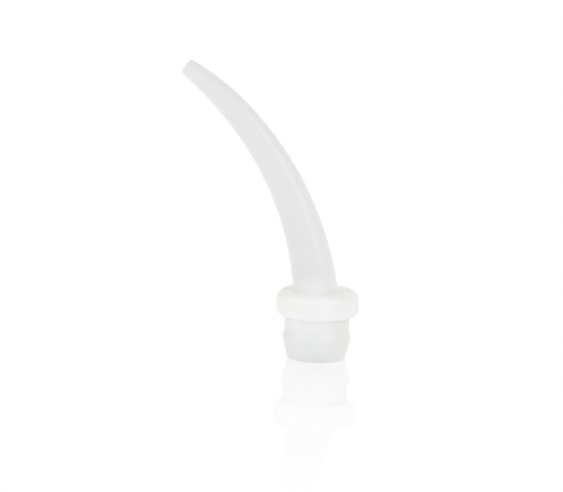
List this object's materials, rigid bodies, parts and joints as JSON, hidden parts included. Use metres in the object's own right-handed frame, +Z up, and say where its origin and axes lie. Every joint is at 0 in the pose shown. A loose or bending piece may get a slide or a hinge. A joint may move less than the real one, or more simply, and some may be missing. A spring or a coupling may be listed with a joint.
{
  "type": "saliva ejector tip",
  "caption": "Curved, tapering translucent suction tip with a round-edged grip collar and a hollow, barbed snap-in spigot.",
  "frame": {"origin": "centre of the spigot's open foot, on the spigot's axis", "axes": "+Z up the spigot's axis towards the tube; the tube bends towards -X in the plane y = 0"},
  "size_m": [0.0189, 0.0082, 0.0292],
  "materials": {
    "tube_plastic": "natural, translucent polyolefin with a fine satin surface",
    "collar_plastic": "the same plastic in a thick, milky section, satin",
    "spigot_plastic": "natural, translucent polyolefin, satin"
  },
  "bodies": {
    "root": {"suction_tube": "tube_plastic", "collar": "collar_plastic", "snap_spigot": "spigot_plastic"}
  },
  "joints": []
}
